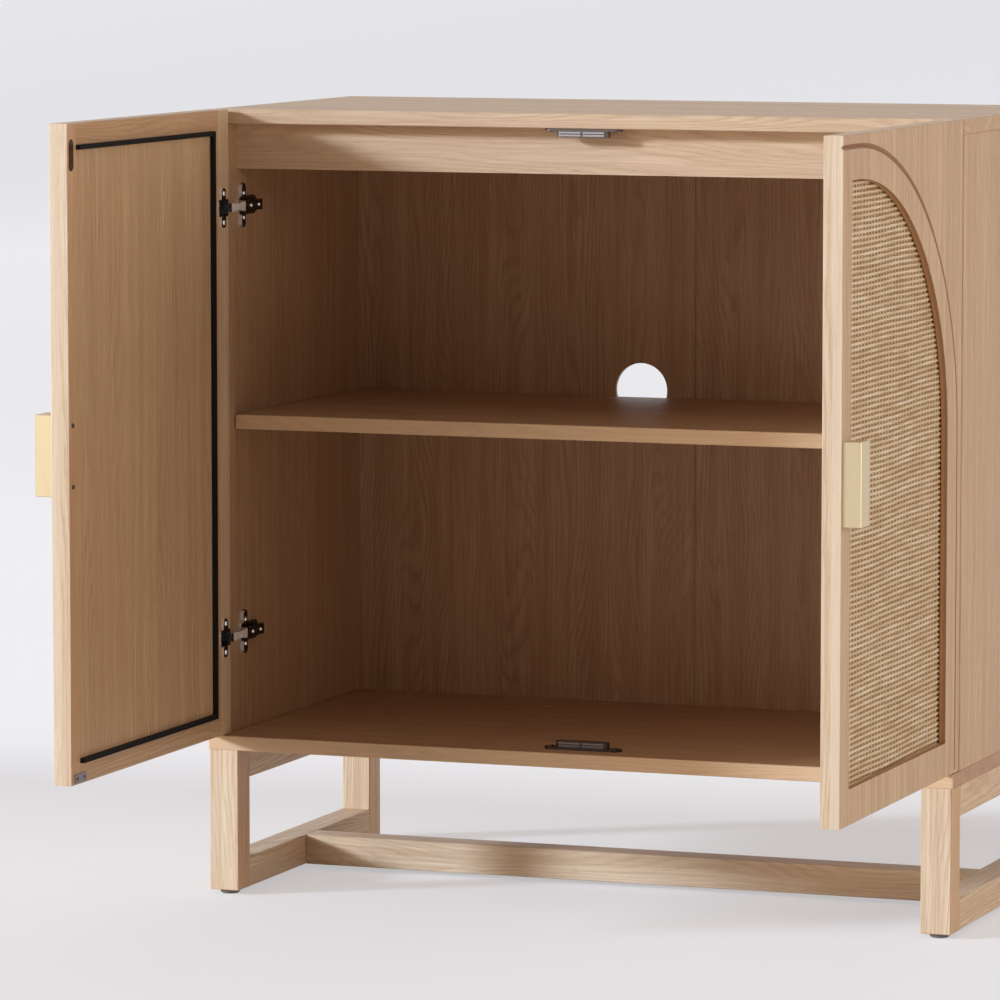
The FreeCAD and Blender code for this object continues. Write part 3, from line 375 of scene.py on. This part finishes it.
def plated_steel(name, code, beyond=None):
    """Plated steel, a little clouded.

    beyond is (axis, limit, code): past the limit along the axis the plating has that colour.
    """
    material, tree, shader = surface(name, Metallic=1.0, Base_Color=colour(code))
    place = add(tree, "TexCoord").outputs["Object"]
    cloud = add(tree, "TexNoise", {"Vector": place, "Scale": 1 / PLATING_CLOUD, "Detail": 3.0})
    texture(tree, shader, cloud, roughness=SATIN_ROUGHNESS)
    if beyond:
        axis, limit, far_code = beyond
        along = add(tree, "SeparateXYZ", (place,)).outputs[axis]
        past = add(tree, "Math", (along, limit), operation="GREATER_THAN")
        recolour(material, past, far_code)
    return material


def nickel_with_painted_highlights(name, neck=None):
    """Pressed hinge steel in nickel, darkened on the flat faces as a painted dark reflection.

    The cut edges are near-white as a painted highlight, and between the two depths of the
    gooseneck's neck the steel is satin and near-white, a painted highlight too.
    """
    material, tree, shader = surface(name, Metallic=1.0, Base_Color=colour(NICKEL_DARK_REFLECTION))
    place = add(tree, "TexCoord").outputs
    normal = add(tree, "SeparateXYZ", (place["Normal"],)).outputs["Y"]
    cut = add(tree, "Math", (normal,), operation="ABSOLUTE")
    bright = add(tree, "Math", (cut, HIGHLIGHT_FACING), operation="GREATER_THAN")
    if neck:
        along = add(tree, "SeparateXYZ", (place["Object"],)).outputs["Y"]
        after = add(tree, "Math", (along, neck[0]), operation="GREATER_THAN")
        before = add(tree, "Math", (along, neck[1]), operation="LESS_THAN")
        satin = add(tree, "Math", (after, before), operation="MULTIPLY")
        bright = add(tree, "Math", (bright, NECK_EDGE_HIGHLIGHT_SHARE), operation="MULTIPLY")
        bright = add(tree, "Math", (bright, satin), operation="MAXIMUM")
        metallic = add(tree, "MapRange", {"Value": satin, "To Min": 1.0, "To Max": NECK_METALLIC})
        feed(tree, shader, {"Metallic": metallic})
    recolour(material, bright, NICKEL_PAINTED_HIGHLIGHT)
    cloud = add(tree, "TexNoise", {"Vector": place["Object"], "Scale": 1 / NICKEL_CLOUD})
    texture(tree, shader, cloud, roughness=NICKEL_ROUGHNESS)
    return material


def lacquered_steel(name, code, foot_code):
    """Steel with a dark satin lacquer and its fine orange peel; foot_code is for the lower half.

    On the catch the darker lower half is a painted shade.
    """
    material, tree, shader = surface(name, Metallic=LACQUER_METALLIC,
                                     Base_Color=colour(code))
    place = add(tree, "TexCoord").outputs["Object"]
    peel = add(tree, "TexNoise", {"Vector": place, "Scale": 1 / LACQUER_PEEL, "Detail": 2.0})
    texture(tree, shader, peel, roughness=LACQUER_ROUGHNESS, depth=LACQUER_RELIEF)
    height = add(tree, "SeparateXYZ", (place,)).outputs["Z"]
    low = add(tree, "Math", (height, CABINET_MIDDLE_Z), operation="LESS_THAN")
    recolour(material, low, foot_code)
    return material


def fine_grained(name, code, roughness, gloss=0.5):
    """Matt plastic or backing with a fine grain, a little darker in its pits."""
    material, tree, shader = surface(name, Roughness=roughness, Specular_IOR_Level=gloss)
    place = add(tree, "TexCoord").outputs["Object"]
    grain = add(tree, "TexNoise", {"Vector": place, "Scale": 1 / MOULD_GRAIN, "Detail": 2.0})
    pit = tuple(PIT_SHADE * c for c in colour(code)[:3]) + (1.0,)
    shade = add(tree, "ValToRGB", (grain,), ((0.3, pit), (0.7, colour(code))))
    feed(tree, shader, {"Base Color": shade})
    texture(tree, shader, grain, depth=MOULD_RELIEF)
    return material


CANE_ROW = 6.6 * MM              # from one weft to the next
CANE_WARP = 12.6 * MM            # from one warp to the next
PATCH_SIZES = (60 * MM, 70 * MM, CANE_ROW)        # a stretch of a strand with one tone
CANE_FIBRES = (0.5 * MM, 30 * MM, 0.5 * MM)
CANE_RELIEF = 0.05 * MM
CANE_ROUGHNESS = 0.58
CANE_TONES = ("#D9BF99", "#E8D4B2", "#F5E9D4")
CANE_FIBRE_SHARE = 0.25
CANE_FIBRE = "#A07A4A"


def split_cane():
    """Peeled rattan strands: straw yellow, each stretch a little lighter or browner."""
    material, tree, shader = surface("split_cane", Roughness=CANE_ROUGHNESS)
    place = add(tree, "TexCoord").outputs["Object"]
    patch = flecks(tree, place, PATCH_SIZES)
    tones = zip((0.32, 0.50, 0.70), (colour(code) for code in CANE_TONES))
    feed(tree, shader, {"Base Color": add(tree, "ValToRGB", (patch,), tuple(tones))})
    fibre = flecks(tree, place, CANE_FIBRES)
    shade = add(tree, "ValToRGB", (fibre,), ((0.35, 0.0), (0.7, 1.0)))
    share = add(tree, "Math", (shade, CANE_FIBRE_SHARE), operation="MULTIPLY")
    recolour(material, share, CANE_FIBRE)
    texture(tree, shader, fibre, depth=CANE_RELIEF)
    return material


NECK_START = 1.5 * MM            # the gooseneck's neck lies between this and the mounting plate
NECK_OVER_PLATE = 1 * MM

MATERIALS = {
    "brass": brushed_brass(),
    "plate": nickel_with_painted_highlights("hinge_plate_nickel"),
    "arm": nickel_with_painted_highlights("hinge_arm_nickel",
                        (NECK_START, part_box("hinge_plates")[0].y + NECK_OVER_PLATE)),
    "zinc": plated_steel("zinc_plated_steel", "#A9A8A6"),
    # near-white screws by the hinges are a painted glint; the door's other screws stay a darker
    # zinc
    "glint_screws": plated_steel("zinc_screws_painted_glint", "#E6E4E2"),
    "door_screws_hinge_glint": plated_steel("door_screws_zinc", "#5A5148", ("Y", DOOR_MIDDLE_Y, "#E6E4E2")),
    # the catch's plates, housings, screws and magnets are darker below the cabinet's middle: a
    # painted shade on the lower catch
    "catch_plate_shaded_foot": lacquered_steel("catch_plate_lacquer", "#685E5B", "#40302A"),
    "strike": lacquered_steel("bronzed_strike", "#4A3024", "#8E8A92"),
    "catch": lacquered_steel("catch_housing_lacquer", "#6A6160", "#4C3C34"),
    "magnet": plated_steel("magnet_poles_zinc", "#6C5F59", ("Z", CABINET_MIDDLE_Z, "#A8A3A5")),
    "rubber": fine_grained("black_seal_strip", "#120E0C", 0.75, 0.2),
    "nylon": fine_grained("nylon_glide", "#7A7672", 0.5),
    "cane": split_cane(),
    "backing": fine_grained("brown_backing_cloth", "#CFA67A", 0.8),
}
NODE_MATERIALS = {
    "hinge_plates": "plate", "hinge_arms": "arm", "catch_plates": "catch_plate_shaded_foot",
    "catch_housings": "catch", "catch_magnets": "magnet", "glides": "nylon",
    "base_bolts": "zinc", "shelf_pins": "zinc", "back_screws": "zinc", "catch_screws": "catch",
    "hinge_screws": "glint_screws",
}
for side in SIDES:
    for piece, finish in (("edge_strip", "rubber"), ("pull", "brass"), ("strikes", "strike"),
                          ("hinge_cups", "plate"), ("hinge_pins", "zinc"),
                          ("screws", "door_screws_hinge_glint"), ("cane_panel", "backing")):
        NODE_MATERIALS[f"{side}_door_{piece}"] = finish


def dress(node_object, material):
    """Give one finish to every material slot of a CAD node."""
    if not node_object.material_slots:
        node_object.data.materials.append(material)
    for slot in node_object.material_slots:
        slot.material = material


for number, (name, node_object) in enumerate(sorted(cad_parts.items()), 1):
    if name in OAK_BOARDS:
        grain, normal, tone, figure = OAK_BOARDS[name]
        oak = oiled_oak(f"oiled_oak_{name}", grain, normal, number, tone, figure)
        # lipping, painted light and painted shade on the faces that look along one axis
        for ending, tint in LIPPING_AND_SHADE_TINTS.items():
            if name.endswith(ending):
                tint_lipping_and_shade(oak, *tint)
        if name.endswith("front_board"):
            routed_edges(oak, *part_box(name))
        elif name.endswith("side_panel"):
            paint_inside_shade(oak, 1 if name.startswith("left") else -1)
        elif name.endswith("back_panel"):
            seam(oak)
        dress(node_object, oak)
    else:
        dress(node_object, MATERIALS[NODE_MATERIALS[name]])


# ---------------------------------------------------------------- woven cane
# the arched opening in door coordinates: h from the hinge edge, t from the outer face, z from the
# foot, and each of these from the edge that is nearest
ARCH_FLAT = 59.5 * MM            # where the arch runs into the straight top
ARCH_SPRING = 385.0 * MM         # where the arch starts from the straight side
RECESS_TOP = 53.5 * MM
RECESS_HINGE = 60.5 * MM
RECESS_FREE = 34.0 * MM
RECESS_FOOT = 43.5 * MM
CANE_LAP = 5.0 * MM              # how far the cane runs under the edge of the opening
CANE_MIDDLE = 10.0 * MM          # depth of the weave's middle behind the outer face
STRAND_SIDES = 6
STRAND_WIDTH = 4.0 * MM
STRAND_THICKNESS = 1.3 * MM
STRAND_SWING = 0.15 * MM         # how far a weft moves to the front and the back as it weaves
STRAND_UNEVEN = 0.12             # share by which a strand's width changes along it
STRAND_SWELL = 0.009             # metres over which a weft grows and shrinks, over 2 pi
WEFT_STEP = CANE_WARP / 4        # from ring to ring of a strand's tube
WARP_STEP = 2 * CANE_ROW
WARP_WIDTH = 5.6 * MM
WARP_THICKNESS = 0.9 * MM
WARP_SET_BACK = 0.75 * MM        # how far the warps lie behind the weave's middle
WARP_SHIFT = 0.7 * MM            # how far a warp may stand from its even place
WARP_LEAN = 0.5 * MM
WARP_LEAN_LENGTH = 0.05          # metres over 2 pi, as for the wefts
WARP_SWELL = 0.021
ROW_WANDER = 0.9 * MM
BACKING_FRONT = 1.55 * MM        # behind the weave's middle
BACKING_BACK = 1.95 * MM
ARCH_STEPS = 33


def door_place(side):
    """The function from door coordinates to the cabinet's frame, the door's width and height."""
    low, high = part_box(f"{side}_door_front_board")
    outer, inward = (low.x, 1.0) if side == "left" else (high.x, -1.0)

    def place(h, t, z):
        return np.stack([outer + inward * t, high.y - h, low.z + z], axis=-1)
    return place, high.y - low.y, high.z - low.z


def cane_outline(width, height):
    """Outline of the cane in door coordinates, with its lap under the edge of the opening.

    The arch is a quarter of an ellipse about (flat_h, spring_z) that reaches across and rise.
    The other sides are straight, at free_h and low_z.
    """
    flat_h, spring_z = width - ARCH_FLAT, height - ARCH_SPRING
    across = flat_h - RECESS_HINGE + CANE_LAP
    rise = height - RECESS_TOP + CANE_LAP - spring_z
    return flat_h, spring_z, across, rise, width - RECESS_FREE + CANE_LAP, RECESS_FOOT - CANE_LAP


def tube(rings):
    """Vertices and faces of a tube through an array of rings, closed at both ends."""
    count, around = rings.shape[:2]
    index = np.arange(count * around).reshape(count, around)
    nearer, further = index[:-1], index[1:]
    walls = np.stack([nearer, np.roll(nearer, -1, 1), np.roll(further, -1, 1), further], axis=-1)
    faces = [tuple(face) for face in walls.reshape(-1, 4)]
    faces += [tuple(index[0][::-1]), tuple(index[-1])]
    return rings.reshape(-1, 3), faces


def mesh_object(name, parts, material, smooth=True):
    """One object from many (vertices, faces) parts."""
    vertices, faces, start = [], [], 0
    for part_vertices, part_faces in parts:
        vertices.append(np.asarray(part_vertices))
        faces += [tuple(int(i) + start for i in face) for face in part_faces]
        start += len(part_vertices)
    mesh = bpy.data.meshes.new(name)
    mesh.from_pydata(np.concatenate(vertices).tolist(), [], faces)
    mesh.polygons.foreach_set("use_smooth", [smooth] * len(mesh.polygons))
    mesh.materials.append(material)
    mesh.validate()
    made = bpy.data.objects.new(name, mesh)
    bpy.context.scene.collection.objects.link(made)
    return made


def woven_cane(side):
    """Wefts that pass in front of and behind flat warps, cut to the arch of the opening."""
    place, width, height = door_place(side)
    flat_h, spring_z, across, rise, free_h, low_z = cane_outline(width, height)
    angles = np.linspace(0, 2 * math.pi, STRAND_SIDES, endpoint=False)
    parts = []
    wave = RNG.uniform(0, 2 * math.pi, 4)

    def wander(h, z):
        """Slow drift of the rows up and down, shared by neighbouring rows."""
        slow = np.sin(h / 0.073 + z / 0.17 + wave[0]) * np.sin(z / 0.13 + wave[1])
        return ROW_WANDER * (slow + 0.4 * np.sin(h / 0.034 + z / 0.06 + wave[2]))

    for row in range(int((spring_z + rise - low_z) / CANE_ROW)):
        z = low_z + (row + 0.5) * CANE_ROW
        reach = 1 - max(0.0, (z - spring_z) / rise) ** 2
        start = flat_h - across * math.sqrt(max(reach, 0.0))
        h = np.arange(start, free_h, WEFT_STEP)
        middle = z + wander(h, z)
        swing = STRAND_SWING * np.cos(math.pi * h / CANE_WARP + math.pi * row)
        swell = STRAND_UNEVEN * np.sin(h / STRAND_SWELL + RNG.uniform(0, 6))
        half = STRAND_WIDTH / 2 * (1 + swell)
        ring_h = np.repeat(h[:, None], len(angles), axis=1)
        ring_t = CANE_MIDDLE + swing[:, None] + STRAND_THICKNESS / 2 * np.sin(angles)
        ring_z = middle[:, None] + half[:, None] * np.cos(angles)
        parts.append(tube(place(ring_h, ring_t, ring_z)))
    for warp in range(int((free_h - flat_h + across) / CANE_WARP)):
        h = free_h - (warp + 0.5) * CANE_WARP + RNG.uniform(-WARP_SHIFT, WARP_SHIFT)
        reach = 1 - max(0.0, (flat_h - h) / across) ** 2
        top = spring_z + rise * math.sqrt(max(reach, 0.0))
        z = np.arange(low_z, top, WARP_STEP)
        lean = WARP_LEAN * np.sin(z / WARP_LEAN_LENGTH + RNG.uniform(0, 6))
        swell = STRAND_UNEVEN * np.sin(z / WARP_SWELL + RNG.uniform(0, 6))
        half = WARP_WIDTH / 2 * (1 + swell)
        depth = CANE_MIDDLE + WARP_SET_BACK + WARP_THICKNESS / 2 * np.sin(angles)
        ring_h = (h + lean)[:, None] + half[:, None] * np.cos(angles)
        ring_t = depth + np.zeros((len(z), 1))
        ring_z = np.repeat(z[:, None], len(angles), axis=1)
        parts.append(tube(place(ring_h, ring_t, ring_z)))
    return mesh_object(f"{side}_woven_cane", parts, MATERIALS["cane"])


def cane_backing(side):
    """Thin brown sheet behind the weave, which shows between the strands."""
    place, width, height = door_place(side)
    flat_h, spring_z, across, rise, free_h, low_z = cane_outline(width, height)
    turn = np.linspace(0, math.pi / 2, ARCH_STEPS)
    h = np.concatenate([[free_h, free_h], flat_h - across * np.sin(turn), [flat_h - across]])
    z = np.concatenate([[low_z, spring_z + rise], spring_z + rise * np.cos(turn), [low_z]])
    count = len(h)
    sheets = [place(h, np.full(count, CANE_MIDDLE + depth), z)
              for depth in (BACKING_FRONT, BACKING_BACK)]
    ring = list(range(count))
    faces = [tuple(ring), tuple(count + i for i in reversed(ring))]
    faces += [(i, (i + 1) % count, count + (i + 1) % count, count + i) for i in ring]
    return mesh_object(f"{side}_cane_backing", [(np.concatenate(sheets), faces)],
                       MATERIALS["backing"], smooth=False)


for side in SIDES:
    weave = woven_cane(side)
    backing = cane_backing(side)
    for piece in (weave, backing):
        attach(piece, f"{side}_door")
        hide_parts(f"{side}_door_cane_panel")


# ---------------------------------------------------------------- studio
FLOOR_FRONT = -40.0
FLOOR_BACK = 11.5                # the wall leaves room for a view from behind the cabinet
COVE_RADIUS = 4.5
COVE_STEPS = 25
WALL_HEIGHT = 38.0
STUDIO_HALF = 67.0
FAR_REACH = 20.0                 # metres at which the paint's levels end
PAINTED_SHADE_REACH = 2.0                # metres behind the cabinet in which the floor's painted shade lies
# how brightly the paint glows, and how much of it is glow, by reach as a share of FAR_REACH
GLOW_LEVELS = ((0.105, 1.0), (0.215, 0.968), (0.297, 0.92), (0.405, 0.893),
               (0.68, 0.92), (0.735, 0.845), (0.78, 0.835), (0.84, 0.87))
GLOW_SHARES = ((0.05, 0.5), (0.105, 0.8), (0.275, 0.97))
FILL_COLOUR = "#FFE9D2"
# the axis and the way along it that the light comes from, and its level
FILL_LEVELS = (("Z", 1, 0.50), ("X", 1, 0.05), ("X", -1, 0.30), ("Y", -1, 0.02), ("Y", 1, 0.20))


def seen_by_lens(tree):
    """1 for what the camera sees, also in metal or through glass, and 0 for the light on pieces."""
    rays = add(tree, "LightPath").outputs
    seen = add(tree, "Math", (rays["Is Camera Ray"], rays["Is Glossy Ray"]), operation="MAXIMUM")
    return add(tree, "Math", (seen, rays["Is Transmission Ray"]), operation="MAXIMUM")


def studio_sweep():
    """Pale floor that curves up into a wall.

    It takes the cabinet's shadow near the cabinet, has a painted shade right behind it,
    and glows more and more evenly further away.
    """
    turn = np.linspace(0, math.pi / 2, COVE_STEPS)
    ys = [FLOOR_FRONT, *(FLOOR_BACK + COVE_RADIUS * np.sin(turn)), FLOOR_BACK + COVE_RADIUS]
    zs = [0.0, *(COVE_RADIUS * (1 - np.cos(turn))), WALL_HEIGHT]
    vertices = [(x, y, z) for y, z in zip(ys, zs) for x in (-STUDIO_HALF, STUDIO_HALF)]
    faces = [(2 * i, 2 * i + 1, 2 * i + 3, 2 * i + 2) for i in range(len(ys) - 1)]
    material, tree, shader = surface("studio_paint", Roughness=0.9)
    seen = seen_by_lens(tree)
    paint = add(tree, "Mix", (seen, colour("#D6C8B8"), colour("#F4F3F6")), data_type="RGBA")
    feed(tree, shader, {"Base Color": paint})

    place = add(tree, "TexCoord").outputs["Object"]
    axes = add(tree, "SeparateXYZ", (place,)).outputs
    on_floor = add(tree, "VectorMath", (place, (1.0, 1.0, 0.0)), operation="MULTIPLY")
    away = add(tree, "VectorMath", (on_floor,), operation="LENGTH")
    away = add(tree, "Math", (away, axes["Z"]), operation="ADD")
    reach = add(tree, "MapRange", {"Value": away, "From Max": FAR_REACH})
    level = add(tree, "ValToRGB", (reach,), GLOW_LEVELS)

    # a painted shade on the floor right behind the cabinet, taken off the glow
    behind = add(tree, "MapRange", {"Value": axes["Y"], "From Max": PAINTED_SHADE_REACH})
    shade = add(tree, "ValToRGB", (behind,), ((0.1, 0.0), (0.4, 0.17), (0.6, 0.0)))
    near = add(tree, "ValToRGB", (reach,), ((0.072, 1.0), (0.12, 0.0)))
    floor_painted_shade = add(tree, "Math", (shade, near), operation="MULTIPLY")
    glow_level = add(tree, "Math", (level, floor_painted_shade), operation="SUBTRACT")
    glow = add(tree, "Emission", {"Color": colour("#F6F6FA"), "Strength": glow_level})

    glow_share = add(tree, "ValToRGB", (reach,), GLOW_SHARES)
    share = add(tree, "Math", (seen, glow_share), operation="MULTIPLY")
    both = add(tree, "MixShader", (share, shader, glow))
    feed(tree, tree.nodes["Material Output"], {"Surface": both})
    return mesh_object("studio_sweep", [(np.array(vertices), faces)], material)


studio_sweep()


def studio_world():
    """Warm white light from above and both sides, dimmer from the front.

    Metal and the lens see a pale room.
    """
    world = bpy.data.worlds.new("studio_light")
    world.use_nodes = True
    tree = world.node_tree
    room = tree.nodes["Background"]
    feed(tree, room, {"Color": colour("#F1F1F4"), "Strength": 0.9})
    way = add(tree, "TexCoord").outputs["Generated"]
    axes = add(tree, "SeparateXYZ", (way,)).outputs
    strength = None
    for axis, sign, level in FILL_LEVELS:
        towards = add(tree, "Math", (axes[axis], sign), operation="MULTIPLY")
        towards = add(tree, "Math", (towards, 0.0), operation="MAXIMUM")
        share = add(tree, "Math", (towards, towards), operation="MULTIPLY")
        share = add(tree, "Math", (share, level), operation="MULTIPLY")
        if strength is not None:
            share = add(tree, "Math", (strength, share), operation="ADD")
        strength = share
    fill = add(tree, "Background", {"Color": colour(FILL_COLOUR), "Strength": strength})
    both = add(tree, "MixShader", (seen_by_lens(tree), fill, room))
    feed(tree, tree.nodes["World Output"], {"Surface": both})
    bpy.context.scene.world = world


CABINET_MIDDLE = (0.0, 0.0, 0.5)
# name, kind, place, what it looks at, colour and the lamp's own settings
LAMPS = (
    ("key_light", "SUN", (-7.6, -5.0, 3.0), (0.0, 0.0, 0.55), "#DFEEFF",
     {"energy": 3.42, "angle": math.radians(7)}),
    ("left_softbox", "AREA", (-4.8, -5.0, 1.9), CABINET_MIDDLE, "#FFF0E0",
     {"shape": "SQUARE", "size": 3.0, "energy": 130}),
    ("side_softbox", "AREA", (6.0, 1.0, 1.6), (0.5, 0.0, 0.5), "#FFF5E9",
     {"shape": "SQUARE", "size": 2.4, "energy": 66}),
    ("right_softbox", "AREA", (6.5, -2.6, 1.6), CABINET_MIDDLE, "#FFEBD6",
     {"shape": "SQUARE", "size": 2.4, "energy": 84}),
)

studio_world()
for name, kind, place, target, code, settings in LAMPS:
    light = bpy.data.lights.new(name, kind)
    light.color = colour(code)[:3]
    for key, value in settings.items():
        setattr(light, key, value)
    lamp = bpy.data.objects.new(name, light)
    lamp.location = place
    lamp.rotation_euler = (Vector(target) - Vector(place)).to_track_quat("-Z", "Y").to_euler()
    bpy.context.scene.collection.objects.link(lamp)


# ---------------------------------------------------------------- camera
CAMERA_PLACE = (2.5897, -7.2740, 1.3339)
CAMERA_TURN = 20.318             # degrees to the left of straight back
CAMERA_DROP = 5.883              # degrees below level
CAMERA_LENS = 218.03             # millimetres, and so is the sensor's width
CAMERA_SENSOR = 36.0
CAMERA_SIGHT = 100.0             # metres

camera_data = bpy.data.cameras.new("camera")
camera_data.lens = CAMERA_LENS
camera_data.sensor_width = CAMERA_SENSOR
camera_data.clip_end = CAMERA_SIGHT
camera = bpy.data.objects.new("camera", camera_data)
camera.location = CAMERA_PLACE
camera.rotation_euler = (math.radians(90 - CAMERA_DROP), 0.0, math.radians(CAMERA_TURN))
bpy.context.scene.collection.objects.link(camera)
bpy.context.scene.camera = camera
bpy.context.scene.view_settings.view_transform = "Standard"
